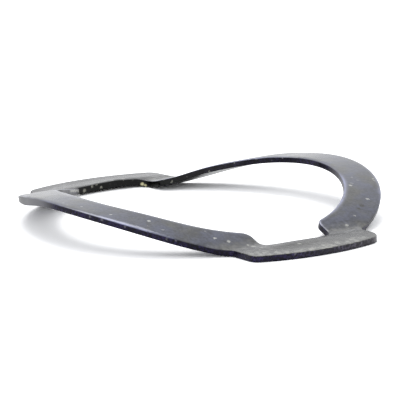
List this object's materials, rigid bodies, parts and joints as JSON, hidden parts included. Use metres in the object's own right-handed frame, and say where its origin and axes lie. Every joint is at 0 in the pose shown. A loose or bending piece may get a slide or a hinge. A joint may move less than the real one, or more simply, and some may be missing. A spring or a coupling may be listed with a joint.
{
  "type": "wave washer",
  "caption": "Wave washer of thin spring steel: a ring bowed across flat seating lugs, with a recess behind each lug, pressed flat between shoulder and bearing to take up end play.",
  "frame": {"origin": "on the washer's axis, in the plane of the seat under the lugs", "axes": "+X from the axis to one lug, +Y from the axis to one crest, +Z along the axis from the seat to the crests"},
  "size_m": [0.0522, 0.0446, 0.0051],
  "materials": {
    "spring_steel": "blackened with hot oxide and oiled, satin faces with darker cut edges"
  },
  "bodies": {
    "root": {"washer": "spring_steel"}
  },
  "joints": []
}
